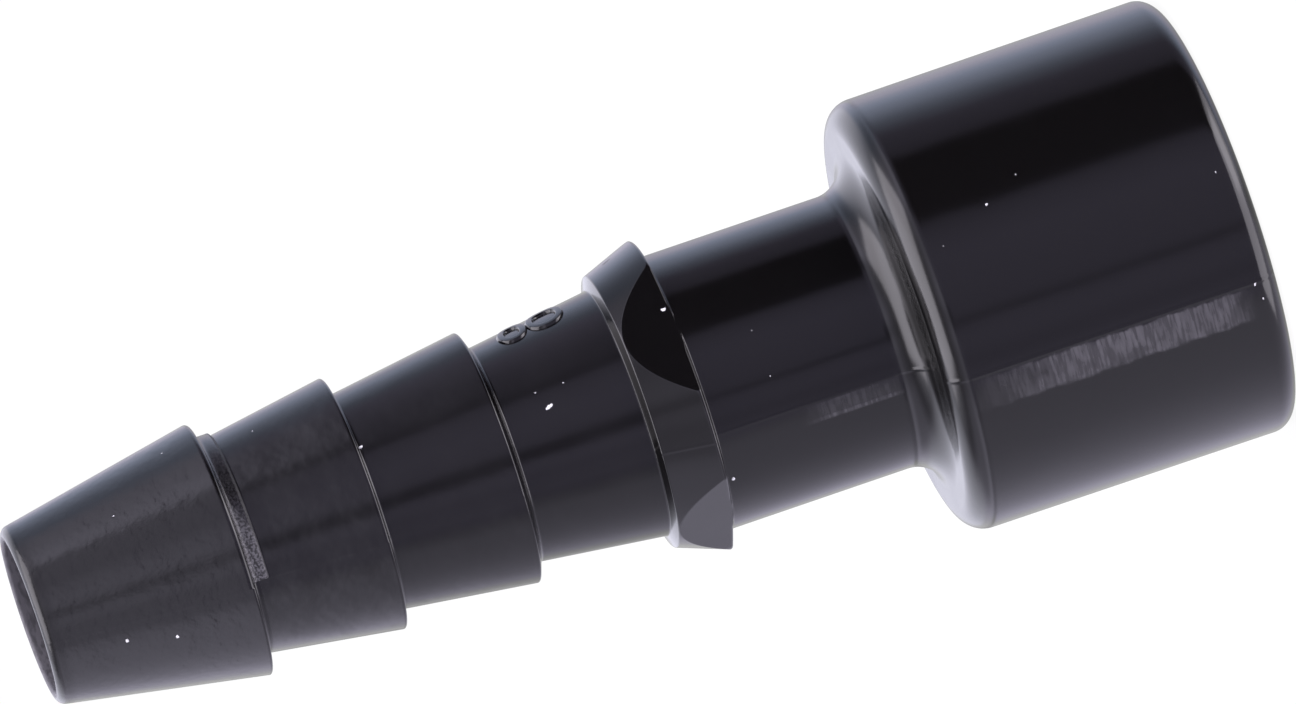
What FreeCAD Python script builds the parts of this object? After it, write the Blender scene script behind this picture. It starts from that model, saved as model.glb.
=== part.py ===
# A hose connector moulded in one piece of plastic, in millimetres.
# It stands on the mouth of its round socket, with the barbed hose tail pointing up along +Z.
# The mould parts in the XZ plane, and the four spanner flats lie at 45 degrees to it.
import FreeCAD, Part
import math
import os
import Sketcher

NODE = "hose_connector"

doc = FreeCAD.newDocument(NODE)

# The driving dimensions, each an alias, its value and what it measures.
DIMENSIONS = [
    ("socket_diameter", "16.0", "outside of the socket at its mouth"),
    ("socket_length", "12.25", "mouth to shoulder"),
    ("socket_wall", "2.0", "wall of the socket at its mouth"),
    ("stop_wall", "2.0", "thickness between the stop in the socket and the shoulder"),
    ("mouth_lead", "0.4", "chamfer that leads into the socket"),
    ("neck_diameter", "10.06", "smooth neck between shoulder and collar"),
    ("neck_length", "7.9", "shoulder to the foot of the collar"),
    ("collar_length", "1.92", "conical face of the collar, along the axis"),
    ("collar_lean", "0.08", "how far the collar's back face leans along the axis"),
    ("collar_step", "0.49", "square step from the last cone up to the collar"),
    ("collar_rise", "0.72", "how much the collar's radius grows towards the socket"),
    ("across_flats", "10.12", "distance between opposite spanner flats"),
    ("flat_count", "4", "spanner flats round the collar"),
    ("flat_angle", "45", "turn of the first flat from the mould's parting plane"),
    ("flat_runout", "0.5", "how far the cut for a flat runs on past the collar's foot"),
    ("root_diameter", "7.88", "hose tail at the roots of the barbs"),
    ("stem_wall", "1.14", "wall of the hose tail at the roots of the barbs"),
    ("barb_count", "3", "barbs, with the one on the tail cone"),
    ("barb_pitch", "4.98", "one crest to the next"),
    ("barb_height", "0.7", "root to crest, radially"),
    ("barb_lean", "0.08", "how far a barb's back face leans along the axis"),
    ("last_cone_rise", "0.59", "how much the cone before the collar grows from its root"),
    ("tail_cone_length", "7.42", "first crest to the open end"),
    ("tip_lip", "0.43", "wall at the open end before it is rounded"),
    ("socket_draft", "0.3", "angle at which the socket's outside narrows towards the shoulder"),
    ("mouth_rounding", "0.75", "outer edge of the socket's mouth"),
    ("shoulder_rounding", "0.94", "outer edge of the shoulder"),
    ("neck_fillet", "1.23", "hollow between neck and shoulder"),
    ("tip_rounding", "0.35", "outer edge of the open end"),
]

sizes = doc.addObject("Spreadsheet::Sheet", "Sizes")
for row, (alias, value, meaning) in enumerate(DIMENSIONS, start=1):
    sizes.set(f"A{row}", meaning)
    sizes.set(f"B{row}", value)
    sizes.setAlias(f"B{row}", alias)
doc.recompute()

# Radii and heights that follow from the driving dimensions.
DERIVED = [
    ("root_radius", "Sizes.root_diameter / 2"),
    ("passage_radius", "Places.root_radius - Sizes.stem_wall"),
    ("tip_radius", "Places.passage_radius + Sizes.tip_lip"),
    ("crest_radius", "Places.root_radius + Sizes.barb_height"),
    ("last_cone_radius", "Places.root_radius + Sizes.last_cone_rise"),
    ("collar_front_radius", "Places.last_cone_radius + Sizes.collar_step"),
    ("collar_back_radius", "Places.collar_front_radius + Sizes.collar_rise"),
    ("neck_radius", "Sizes.neck_diameter / 2"),
    ("mouth_radius", "Sizes.socket_diameter / 2"),
    ("shoulder_radius", "Places.mouth_radius - Sizes.socket_length * tan(Sizes.socket_draft)"),
    ("socket_bore_radius", "Places.mouth_radius - Sizes.socket_wall"),
    ("lead_radius", "Places.socket_bore_radius + Sizes.mouth_lead"),
    ("lead_end", "Sizes.mouth_lead"),
    ("shoulder", "Sizes.socket_length"),
    ("stop", "Places.shoulder - Sizes.stop_wall"),
    ("collar_foot", "Places.shoulder + Sizes.neck_length"),
    ("collar_back", "Places.collar_foot + Sizes.collar_lean"),
    ("collar_front", "Places.collar_back + Sizes.collar_length"),
]
barb_numbers = range(1, int(sizes.barb_count) + 1)
for number in barb_numbers:
    DERIVED.append((f"crest_{number}", f"Places.collar_front + {number} * Sizes.barb_pitch"))
    DERIVED.append((f"root_{number}", f"Places.crest_{number} - Sizes.barb_lean"))
DERIVED.append(("tip", f"Places.crest_{barb_numbers[-1]} + Sizes.tail_cone_length"))

places = doc.addObject("App::VarSet", "Places")
for name, expression in DERIVED:
    places.addProperty("App::PropertyFloat", name, "Derived")
    places.setExpression(name, expression)
    doc.recompute()

body = doc.addObject("PartDesign::Body", NODE)
body.Label = NODE
body.Placement = FreeCAD.Placement()


def origin_feature(role):
    """The body's own origin plane or axis with that role."""
    return next(item for item in body.Origin.OriginFeatures if item.Role == role)


def new_sketch(name, plane):
    """An empty sketch on one of the body's own origin planes."""
    sketch = body.newObject("Sketcher::SketchObject", name)
    sketch.AttachmentSupport = [(origin_feature(plane), "")]
    sketch.MapMode = "FlatFace"
    return sketch


def tie(sketch, constraint, label, expression):
    """Adds a sized constraint to a sketch and binds its value."""
    number = sketch.addConstraint(constraint)
    sketch.renameConstraint(number, label)
    sketch.setExpression(f"Constraints.{label}", expression)


def hold_corner(sketch, element, corner, radius, height, label):
    """Holds a point of the outline at a derived radius and height, or on the axes where these are None."""
    if radius is None:
        sketch.addConstraint(Sketcher.Constraint("PointOnObject", element, 1, -2))
    else:
        across = Sketcher.Constraint("DistanceX", -1, 1, element, 1, corner.x)
        tie(sketch, across, f"radius_{label}", f"Places.{radius}")
    if height is None:
        sketch.addConstraint(Sketcher.Constraint("PointOnObject", element, 1, -1))
    else:
        up = Sketcher.Constraint("DistanceY", -1, 1, element, 1, corner.y)
        tie(sketch, up, f"height_{label}", f"Places.{height}")


def corner_arc(before, corner, after, size):
    """The arc that rounds a corner, with the points where it leaves and joins the straight sides,
    and whether it turns left."""
    back = (before - corner).normalize()
    forward = (after - corner).normalize()
    half = back.getAngle(forward) / 2
    first = corner + back * (size / math.tan(half))
    last = corner + forward * (size / math.tan(half))
    centre = corner + (back + forward).normalize() * (size / math.sin(half))
    turns_left = forward.cross(back).z > 0
    begin, end = (first, last) if turns_left else (last, first)
    angles = [math.atan2(point.y - centre.y, point.x - centre.x) for point in (begin, end)]
    circle = Part.Circle(centre, FreeCAD.Vector(0, 0, 1), size)
    return Part.ArcOfCircle(circle, angles[0], angles[1]), first, last, turns_left


def outline_sketch(name, corners):
    """A closed outline in the XZ plane. Each corner names its radius and its height among the derived
    places, None for the axis or the mouth, and the driving size that rounds it, or None where it is sharp."""
    sketch = new_sketch(name, "XZ_Plane")
    points = []
    for radius, height, _ in corners:
        across = getattr(places, radius) if radius else 0.0
        up = getattr(places, height) if height else 0.0
        points.append(FreeCAD.Vector(across, up, 0))
    count = len(corners)
    arrivals, departures, arcs = list(points), list(points), {}
    for index, (_, _, rounding) in enumerate(corners):
        if rounding:
            sides = points[index - 1], points[index], points[(index + 1) % count]
            arc, arrivals[index], departures[index], turns_left = corner_arc(*sides, getattr(sizes, rounding))
            arcs[index] = (arc, turns_left)
    for index in range(count):
        sketch.addGeometry(Part.LineSegment(departures[index], arrivals[(index + 1) % count]))
    for index, (radius, height, rounding) in enumerate(corners):
        line_before, line_after = (index - 1) % count, index
        if not rounding:
            sketch.addConstraint(Sketcher.Constraint("Coincident", line_before, 2, line_after, 1))
            hold_corner(sketch, line_after, points[index], radius, height, index)
            continue
        arc, turns_left = arcs[index]
        curve = sketch.addGeometry(arc)
        point = sketch.addGeometry(Part.Point(points[index]), True)
        first_end, last_end = (1, 2) if turns_left else (2, 1)
        sketch.addConstraint(Sketcher.Constraint("Tangent", line_before, 2, curve, first_end))
        sketch.addConstraint(Sketcher.Constraint("Tangent", curve, last_end, line_after, 1))
        sketch.addConstraint(Sketcher.Constraint("PointOnObject", point, 1, line_before))
        sketch.addConstraint(Sketcher.Constraint("PointOnObject", point, 1, line_after))
        hold_corner(sketch, point, points[index], radius, height, index)
        curve_size = Sketcher.Constraint("Radius", curve, getattr(sizes, rounding))
        tie(sketch, curve_size, f"{rounding}_{index}", f"Sizes.{rounding}")
    return sketch


def turned(kind, name, corners):
    """A revolution or groove of an outline, all the way round the Z axis."""
    sketch = outline_sketch(f"{name}_outline", corners)
    feature = body.newObject(kind, name)
    feature.Profile = sketch
    feature.ReferenceAxis = (sketch, ["V_Axis"])
    feature.Angle = 360
    body.Tip = feature
    doc.recompute()


# The whole outside is one turned outline, from the mouth up over the shoulder, neck and collar.
# Each barb is a root, a leaning back face and a crest, and the last one carries the long cone that the
# hose is pushed over.
outside = [
    (None, None, None),
    ("mouth_radius", None, "mouth_rounding"),
    ("shoulder_radius", "shoulder", "shoulder_rounding"),
    ("neck_radius", "shoulder", "neck_fillet"),
    ("neck_radius", "collar_foot", None),
    ("collar_back_radius", "collar_back", None),
    ("collar_front_radius", "collar_front", None),
    ("last_cone_radius", "collar_front", None),
]
for number in barb_numbers:
    outside.append(("root_radius", f"root_{number}", None))
    outside.append(("crest_radius", f"crest_{number}", None))
outside.append(("tip_radius", "tip", "tip_rounding"))
outside.append((None, "tip", None))
turned("PartDesign::Revolution", "outside", outside)

# One spanner flat, cut from the collar's front face down to its foot, and its copies round the axis.
flat_sketch = new_sketch("flat_outline", "XY_Plane")
flat_sketch.setExpression("AttachmentOffset.Base.z", "Places.collar_front")
flat_sketch.setExpression("AttachmentOffset.Rotation.Angle", "Sizes.flat_angle")
inner, reach = sizes.across_flats / 2, places.collar_back_radius
flat_corners = [(inner, -reach), (reach, -reach), (reach, reach), (inner, reach)]
flat_points = [FreeCAD.Vector(across, along, 0) for across, along in flat_corners]
for index in range(4):
    flat_sketch.addGeometry(Part.LineSegment(flat_points[index], flat_points[(index + 1) % 4]))
for index in range(4):
    flat_sketch.addConstraint(Sketcher.Constraint("Coincident", index, 2, (index + 1) % 4, 1))
for index, direction in enumerate(["Horizontal", "Vertical", "Horizontal"]):
    flat_sketch.addConstraint(Sketcher.Constraint(direction, index))
flat_sketch.addConstraint(Sketcher.Constraint("Symmetric", 3, 1, 3, 2, -1))
distance = Sketcher.Constraint("DistanceX", -1, 1, 0, 1, inner)
tie(flat_sketch, distance, "flat_distance", "Sizes.across_flats / 2")
outward = Sketcher.Constraint("DistanceX", -1, 1, 1, 1, reach)
tie(flat_sketch, outward, "reach_out", "Places.collar_back_radius")
sideways = Sketcher.Constraint("DistanceY", -1, 1, 3, 1, reach)
tie(flat_sketch, sideways, "reach_side", "Places.collar_back_radius")
doc.recompute()

volume_before_flats = body.Tip.Shape.Volume
flat = body.newObject("PartDesign::Pocket", "flat")
flat.Profile = flat_sketch
flat.setExpression("Length", "Sizes.collar_length + Sizes.collar_lean + Sizes.flat_runout")
body.Tip = flat
doc.recompute()
flats = body.newObject("PartDesign::PolarPattern", "flats")
flats.Originals = [flat]
flats.Axis = (origin_feature("Z_Axis"), [""])
flats.Angle = 360
flats.setExpression("Occurrences", "Sizes.flat_count")
body.Tip = flats
doc.recompute()
volume_of_flats = volume_before_flats - body.Tip.Shape.Volume

# The socket with its lead-in and flat stop, and the air passage on through the hose tail.
volume_before_bores = body.Tip.Shape.Volume
turned("PartDesign::Groove", "bores", [
    (None, None, None),
    ("lead_radius", None, None),
    ("socket_bore_radius", "lead_end", None),
    ("socket_bore_radius", "stop", None),
    ("passage_radius", "stop", None),
    ("passage_radius", "tip", None),
    (None, "tip", None),
])
volume_of_bores = volume_before_bores - body.Tip.Shape.Volume

# Nothing is written unless every object is sound and both cuts took material away.
doc.recompute()
faults = [item.Name for item in doc.Objects if {"Invalid", "Error"} & set(item.State)]
if faults:
    raise RuntimeError(f"failed: {faults}")
shape = body.Shape
if shape.isNull() or not shape.isValid() or len(shape.Solids) != 1:
    raise RuntimeError("the connector isn't one valid solid")
if volume_of_flats <= 0 or volume_of_bores <= 0:
    raise RuntimeError("a cut removed nothing")

os.makedirs("parts", exist_ok=True)
shape.exportStep(f"parts/{body.Label}.step")
box = shape.optimalBoundingBox()
print(f"{body.Label}: {box.XLength:.3f} x {box.YLength:.3f} x {box.ZLength:.3f} mm")
print(f"volume {shape.Volume:.2f}, flats {volume_of_flats:.3f}, bores {volume_of_bores:.2f} cubic mm")
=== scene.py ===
# %% [markdown]
# # A moulded hose connector
#
# The real object is one piece of black plastic, shot into a mould in a few seconds. A hose is pushed over
# the three saw-tooth barbs of its tail, and a tool or a pipe end goes into the round socket. Everything
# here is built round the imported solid, which is loaded first and gives every height and diameter its
# meaning.

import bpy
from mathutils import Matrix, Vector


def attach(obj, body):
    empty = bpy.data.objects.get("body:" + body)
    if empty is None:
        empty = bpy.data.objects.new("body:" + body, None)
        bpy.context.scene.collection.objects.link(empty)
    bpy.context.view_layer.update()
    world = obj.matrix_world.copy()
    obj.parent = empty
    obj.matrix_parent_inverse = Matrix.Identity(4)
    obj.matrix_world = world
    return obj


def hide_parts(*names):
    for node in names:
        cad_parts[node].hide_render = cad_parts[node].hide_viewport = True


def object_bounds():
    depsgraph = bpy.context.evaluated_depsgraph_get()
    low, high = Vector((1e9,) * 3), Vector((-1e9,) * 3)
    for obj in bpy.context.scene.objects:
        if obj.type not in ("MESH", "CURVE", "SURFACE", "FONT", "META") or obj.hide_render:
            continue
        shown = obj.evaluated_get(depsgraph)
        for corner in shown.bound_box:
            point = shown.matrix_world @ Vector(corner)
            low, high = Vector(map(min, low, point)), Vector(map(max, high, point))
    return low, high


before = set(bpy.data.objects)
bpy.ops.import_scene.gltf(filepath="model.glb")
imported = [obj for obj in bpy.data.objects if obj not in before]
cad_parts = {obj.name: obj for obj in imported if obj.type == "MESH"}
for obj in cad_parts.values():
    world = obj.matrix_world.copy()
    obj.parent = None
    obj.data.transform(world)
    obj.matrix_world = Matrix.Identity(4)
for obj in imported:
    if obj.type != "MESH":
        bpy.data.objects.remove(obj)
cad_low, cad_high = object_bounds()
print("the solid's box", tuple(cad_low), tuple(cad_high))

# %% [markdown]
# Blender works in metres and this part is as long as a thumb, so sizes are written in millimetres and
# multiplied by MM. Two helpers are used all through: one turns a screen colour into the linear values that
# shaders want, and one adds a node to any tree with its settings and its links.

# %% Tools for everything that follows
import math

import bpy
from mathutils import Matrix, Vector

MM = 0.001


def screen_colour(code):
    """Linear RGBA of an sRGB hex code such as 1a2b3c."""
    shares = [int(code[place : place + 2], 16) / 255 for place in (0, 2, 4)]
    linear = [share / 12.92 if share <= 0.04045 else ((share + 0.055) / 1.055) ** 2.4 for share in shares]
    return (*linear, 1.0)


def add(tree, kind, inputs=None, **settings):
    """A new node, with its settings, and its inputs given as values or as sockets to link."""
    made = tree.nodes.new(kind)
    for name, value in settings.items():
        setattr(made, name, value)
    for name, value in (inputs or {}).items():
        if isinstance(value, bpy.types.NodeSocket):
            tree.links.new(value, made.inputs[name])
        else:
            made.inputs[name].default_value = value
    return made


def maths(tree, operation, *values):
    """The output of one Math node."""
    return add(tree, "ShaderNodeMath", dict(enumerate(values)), operation=operation).outputs[0]


print("one millimetre is", MM, "Blender units")

# %% [markdown]
# ## The outline
#
# The steel mould for such a part is turned on a lathe, so the part is one outline spun round the Z axis.
# Each corner has its radius and height, the size of its rounding, and how many steps that takes. No tool
# cuts a perfectly sharp corner, and the tiny roundings at the crests are what catches the light.

# %% Heights and radii, in millimetres
TIP = cad_high.z / MM
MOUTH_RADIUS = cad_high.x / MM
SHOULDER = 12.25
STOP = 10.25
NECK_RADIUS = 5.03
COLLAR_FOOT = 20.15
COLLAR_BACK = 20.23
COLLAR_FRONT = 22.15
COLLAR_BACK_RADIUS = 5.74
COLLAR_FRONT_RADIUS = 5.02
LAST_CONE_RADIUS = 4.53
BARB_PITCH = 4.98
TIP_RADIUS = 3.23
PASSAGE_RADIUS = 2.80
SOCKET_BORE = 6.0
FRONT_LEAN = 0.14
DRAFT = 0.064
LEAD_IN = 0.4

crests = [COLLAR_FRONT + BARB_PITCH * number for number in (3, 2, 1)]
print("barb crests at", [round(height, 2) for height in crests])

# %% The barbs, from the tip: radii of the crest and of the root, and how far the back face leans
barbs = [(4.64, 3.88, 0.08), (4.64, 3.955, 0.08), (4.625, 3.94, 0.25)]
CREST_ROUNDING = 0.06
ROOT_ROUNDING = 0.10
corners = [(PASSAGE_RADIUS, TIP, 0.12, 4), (TIP_RADIUS, TIP, 0.35, 8)]
for height, (crest_radius, root_radius, lean) in zip(crests, barbs):
    corners.append((crest_radius, height, CREST_ROUNDING, 7))
    corners.append((root_radius, height - lean, ROOT_ROUNDING, 8))
FIRST_ROOT = 3
LAST_ROOT = 7
print("barb roots at", [round(corners[index][1], 2) for index in range(FIRST_ROOT, LAST_ROOT + 1, 2)])

# %% The other corners, down the collar, neck and socket and back up the inside
corners += [
    (LAST_CONE_RADIUS, COLLAR_FRONT + FRONT_LEAN, 0.05, 5),
    (COLLAR_FRONT_RADIUS, COLLAR_FRONT, 0.07, 6),
    (COLLAR_BACK_RADIUS, COLLAR_BACK, 0.10, 8),
    (NECK_RADIUS, COLLAR_FOOT, 0.08, 6),
    (NECK_RADIUS, SHOULDER, 1.23, 20),
    (MOUTH_RADIUS - DRAFT, SHOULDER, 0.94, 18),
    (MOUTH_RADIUS, 0.0, 0.75, 16),
    (SOCKET_BORE + LEAD_IN, 0.0, 0.10, 4),
    (SOCKET_BORE, LEAD_IN, 0.10, 4),
    (SOCKET_BORE, STOP, 0.40, 6),
    (PASSAGE_RADIUS, STOP, 0.20, 5),
]
RIM = 10
INSIDE = 15
print(len(corners), "corners, with the rim at", corners[RIM][:2], "and the lead-in at", corners[INSIDE][:2])


# %% Rounding a corner
def corner_points(index, other_size=None):
    """The arc that rounds one corner, as points in the half-plane of radius and height."""
    places = (index - 1, index, (index + 1) % len(corners))
    before, here, after = (Vector(corners[place][:2]) for place in places)
    size, steps = other_size or corners[index][2], corners[index][3]
    back, forward = (before - here).normalized(), (after - here).normalized()
    half = back.angle(forward) / 2
    centre = here + (back + forward).normalized() * size / math.sin(half)
    first = here + back * size / math.tan(half) - centre
    last = here + forward * size / math.tan(half) - centre
    turn = first.angle_signed(last)
    return [centre + Matrix.Rotation(-turn * step / steps, 2) @ first for step in range(steps + 1)]


# The upper half of the mould was worn, so its crests, the corners 2, 4 and 6, are blunter.
blunt_crests = {2: 0.15, 4: 0.09, 6: 0.09}
arcs = [corner_points(index) for index in range(len(corners))]
upper_arcs = [corner_points(index, blunt_crests.get(index)) for index in range(len(corners))]
for index in (1, 2, RIM):
    ends = [tuple(round(value, 3) for value in arcs[index][end]) for end in (0, -1)]
    print("corner", index, "is rounded from", *ends)

# %% [markdown]
# ## Where the spanner flats bite
#
# Four flats are cut square across the cone of the collar. Round the part a flat stands at a distance of
# half-across-flats divided by the cosine of the angle from its middle, so it dips below the collar's rim
# only within 28 degrees of that middle. A boolean cut would leave slivers and a jagged edge. Instead, each
# point of the outline says how it moves when the rim has to come down: its share of the drop, how far it
# drifts along the axis for each millimetre of drop, and the most that it may drop. The edge of the flat
# then always lies on a row of the mesh.
#
# The mould has two halves, and they aren't quite alike. Behind the first barb the upper half left a rough
# land instead of a clean hollow. So each point also carries how far it is off in the upper half, and
# whether it is outside, where the two halves leave a fine seam.

# %% The outline as points with their moves
CONE_DRIFT = (COLLAR_FRONT - COLLAR_BACK) / (COLLAR_BACK_RADIUS - COLLAR_FRONT_RADIUS)
LEAN_DRIFT = -(COLLAR_BACK - COLLAR_FOOT) / (COLLAR_BACK_RADIUS - NECK_RADIUS)
SUPPORT = 0.05
ALL_THE_WAY = 9.0
SEAM_SHARE = 0.5
FAINT_SEAM_SHARE = 0.2

outline = []


def put(point, share=0.0, drift=0.0, most=0.0, seam=1.0, upper=None):
    """One point of the outline, with how it makes room for a flat and where it is in the upper half."""
    other = (upper or point)[0] - point[0], (upper or point)[1] - point[1]
    outline.append((point[0], point[1], share, share * drift, most, other[0], seam, other[1]))


def near_ends(start, end):
    """Points close to both ends of a straight run."""
    place = min(SUPPORT / (end - start).length, 0.3)
    return [(place, start.lerp(end, place)), (1 - place, start.lerp(end, 1 - place))]


def run(ends, upper_ends, shares=(0.0, 0.0), drift=0.0, most=0.0, seam=1.0):
    """Rows close to both ends of a straight run, which keep the shading of the roundings off it."""
    for (place, point), (_, other) in zip(near_ends(*ends), near_ends(*upper_ends)):
        put(point, shares[0] + (shares[1] - shares[0]) * place, drift, most, seam, other)


print("the collar's face drifts", round(CONE_DRIFT, 2), "mm for each mm of drop")

# %% The rough land behind the first barb, as heights and radii in the upper half
LAND_RADIUS = 4.08
LAND_END = 36.50
LAND_FILLET = 0.16
root_radius, root_height = corners[FIRST_ROOT][:2]
fillet_top = root_height + 0.02
cone_growth = (barbs[1][0] - root_radius) / (root_height - crests[1])


def cone_beside(height):
    """The radius of the clean cone at a height, next to the land."""
    return root_radius + cone_growth * (root_height - height)


land_rows = [(LAND_RADIUS, height) for height in (36.80, 36.65, LAND_END + 0.02)]
land_rows += [(LAND_RADIUS - 0.01, LAND_END), (cone_beside(LAND_END - 0.03) + 0.01, LAND_END - 0.03)]
land_rows += [(cone_beside(LAND_END - below), LAND_END - below) for below in (0.06, 0.11, 0.16)]


def put_first_root(arc):
    """The first root's rows: a small hollow in the lower half of the mould, a filleted land in the upper."""
    steps = len(arc) - 1
    for step, point in enumerate(arc):
        swept = math.radians(90 * step / steps)
        fillet_radius = LAND_RADIUS + LAND_FILLET * (1 - math.sin(swept))
        fillet_height = fillet_top - LAND_FILLET * (1 - math.cos(swept))
        put(point, seam=SEAM_SHARE, upper=(fillet_radius, fillet_height))
    for radius, height in land_rows:
        put((cone_beside(height), height), seam=SEAM_SHARE, upper=(radius, height))


print("the land stands", round(LAND_RADIUS - land_rows[-1][0], 3), "mm proud of the cone beside it")

# %% Every row, in order
rim_top = max(range(len(arcs[RIM])), key=lambda step: arcs[RIM][step].x)
RIM_RADIUS = arcs[RIM][rim_top].x
front_row = arcs[RIM - 1][-1]
LEAN_MOST = RIM_RADIUS - arcs[RIM + 1][0].x - 0.03
land_rows_end = Vector(land_rows[-1])

# The seam is faint on the first cone and the neck, and it stands up fully on the shoulder and the socket.
FAINT_SEAM = (1, 2, RIM + 1)
FULL_SEAM = (RIM + 2, RIM + 3)
for index, arc in enumerate(arcs):
    following = arcs[(index + 1) % len(arcs)][0]
    upper_following = upper_arcs[(index + 1) % len(arcs)][0]
    if index + 1 == FIRST_ROOT:
        upper_following = Vector((LAND_RADIUS + LAND_FILLET, fillet_top))
    ends, upper_ends = (arc[-1], following), (upper_arcs[index][-1], upper_following)
    seam = SEAM_SHARE if 0 < index < INSIDE else 0.0
    if index in FULL_SEAM:
        seam = 1.0
    elif index in FAINT_SEAM:
        seam = FAINT_SEAM_SHARE
    if index == RIM:
        for point in arc[: rim_top + 1]:
            put(point, 1.0, CONE_DRIFT, ALL_THE_WAY, seam)
        for place in (0.06, 0.5, 0.94):
            put(arc[rim_top], 1.0, CONE_DRIFT + (LEAN_DRIFT - CONE_DRIFT) * place, ALL_THE_WAY, seam)
        for point in arc[rim_top:]:
            put(point, 1.0, LEAN_DRIFT, LEAN_MOST, seam)
        put(arc[-1].lerp(following, 0.08), 0.92, LEAN_DRIFT, LEAN_MOST, seam)
    elif index == FIRST_ROOT:
        put_first_root(arc)
        both_ends = (following, upper_following)
        last_row, upper_last_row = (near_ends(land_rows_end, end)[1][1] for end in both_ends)
        put(last_row, seam=seam, upper=upper_last_row)
    else:
        for point, other in zip(arc, upper_arcs[index]):
            put(point, most=ALL_THE_WAY if index == RIM + 1 else 0.0, seam=seam, upper=other)
        if index == RIM - 1:
            run(ends, upper_ends, (0.0, 1.0), CONE_DRIFT, ALL_THE_WAY, seam)
        else:
            run(ends, upper_ends, seam=seam)
outline.append(outline[0])
print(len(outline), "points on the outline, the rim's radius is", round(RIM_RADIUS, 3))

# %% The outline as a Blender mesh of loose points
profile_mesh = bpy.data.meshes.new("outline_points")
profile_mesh.from_pydata([(radius * MM, 0.0, height * MM) for radius, height, *_ in outline], [], [])
cut = profile_mesh.attributes.new("cut", "FLOAT_VECTOR", "POINT")
halves = profile_mesh.attributes.new("halves", "FLOAT_VECTOR", "POINT")
for number, (_, _, share, drift, most, wider, seam, higher) in enumerate(outline):
    cut.data[number].vector = (share, drift, most * MM)
    halves.data[number].vector = (wider * MM, seam, higher * MM)
print("outline mesh holds", len(profile_mesh.vertices), "points")

# %% [markdown]
# ## Turning the body
#
# A Geometry Nodes tree does the lathe's work. A grid has one row for each point of the outline and one
# column for each step round the axis. Every grid point looks up its outline point, drops it where a flat is
# in the way, and swings it round. Merging by distance closes the join and folds away the rows that lie on
# each other between the flats. The columns crowd together at the seam of the two mould halves, so that it
# can stand up as a ridge a fifth of a millimetre wide without costing faces all the way round.

# %% A tree with named inputs
def new_tree(name, *sizes):
    """A Geometry Nodes tree with a geometry input, more named inputs, and its outputs to build from."""
    tree = bpy.data.node_groups.new(name, "GeometryNodeTree")
    tree.interface.new_socket(name="Geometry", in_out="INPUT", socket_type="NodeSocketGeometry")
    for label, kind in sizes:
        tree.interface.new_socket(name=label, in_out="INPUT", socket_type="NodeSocket" + kind)
    tree.interface.new_socket(name="Geometry", in_out="OUTPUT", socket_type="NodeSocketGeometry")
    return tree, add(tree, "NodeGroupInput").outputs


def close_tree(tree, geometry, material):
    """Ends a tree, with smooth real geometry and its material."""
    smooth = add(tree, "GeometryNodeSetShadeSmooth", {0: geometry, "Shade Smooth": True}).outputs[0]
    real = add(tree, "GeometryNodeRealizeInstances", {"Geometry": smooth}).outputs[0]
    dressed = add(tree, "GeometryNodeSetMaterial", {"Geometry": real, "Material": material}).outputs[0]
    add(tree, "NodeGroupOutput", {"Geometry": dressed})


def made_by(tree, name, mesh, values):
    """A piece whose mesh is what the tree makes of a mesh, with the modifier gone."""
    piece = bpy.data.objects.new(name, mesh)
    bpy.context.scene.collection.objects.link(piece)
    modifier = piece.modifiers.new(tree.name, "NODES")
    modifier.node_group = tree
    for item in tree.interface.items_tree:
        if item.in_out == "INPUT" and item.name in values:
            modifier[item.identifier] = values[item.name]
    bpy.context.view_layer.update()
    depsgraph = bpy.context.evaluated_depsgraph_get()
    result = bpy.data.meshes.new_from_object(piece.evaluated_get(depsgraph), depsgraph=depsgraph)
    piece.modifiers.clear()
    piece.data = result
    result.name = name
    while result.materials and result.materials[0] is None:
        result.materials.pop(index=0)
    print(name, "has", len(result.polygons), "faces")
    return piece


# %% The lathe: one row for each outline point, one column for each step round the axis
lathe, given = new_tree(
    "lathe",
    ("Columns", "Int"),
    ("Crowding", "Float"),
    ("Half Across Flats", "Float"),
    ("Rim Radius", "Float"),
    ("Front Radius", "Float"),
    ("Front Height", "Float"),
    ("First Flat", "Float"),
    ("Flat Spacing", "Float"),
    ("Seam Height", "Float"),
    ("Seam Width", "Float"),
    ("Material", "Material"),
)
counted = add(lathe, "GeometryNodeAttributeDomainSize", {"Geometry": given["Geometry"]}, component="MESH")
width = maths(lathe, "ADD", given["Columns"], 1.0)
grid_size = {"Vertices X": counted.outputs["Point Count"], "Vertices Y": width}
grid = add(lathe, "GeometryNodeMeshGrid", grid_size)
order = add(lathe, "GeometryNodeInputIndex").outputs[0]
row = maths(lathe, "FLOOR", maths(lathe, "DIVIDE", maths(lathe, "ADD", order, 0.5), width))
column = maths(lathe, "SUBTRACT", order, maths(lathe, "MULTIPLY", row, width))
even_angle = maths(lathe, "MULTIPLY", maths(lathe, "DIVIDE", column, given["Columns"]), math.tau)
twice_round = maths(lathe, "SINE", maths(lathe, "MULTIPLY", even_angle, 2.0))
crowd = maths(lathe, "MULTIPLY", twice_round, given["Crowding"])
angle = maths(lathe, "SUBTRACT", even_angle, crowd)
print("the grid's rows and columns are set, with", len(lathe.nodes), "nodes so far")


# %% What each grid point reads from its point of the outline
def looked_up(value):
    """A vector that the grid point reads from its point of the outline, as three numbers."""
    wanted = {"Geometry": given["Geometry"], "Value": value, "Index": row}
    sample = add(lathe, "GeometryNodeSampleIndex", wanted, data_type="FLOAT_VECTOR")
    return add(lathe, "ShaderNodeSeparateXYZ", {"Vector": sample.outputs[0]}).outputs


def named(label):
    """A vector attribute of the outline."""
    found = add(lathe, "GeometryNodeInputNamedAttribute", {"Name": label}, data_type="FLOAT_VECTOR")
    return found.outputs[0]


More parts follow.
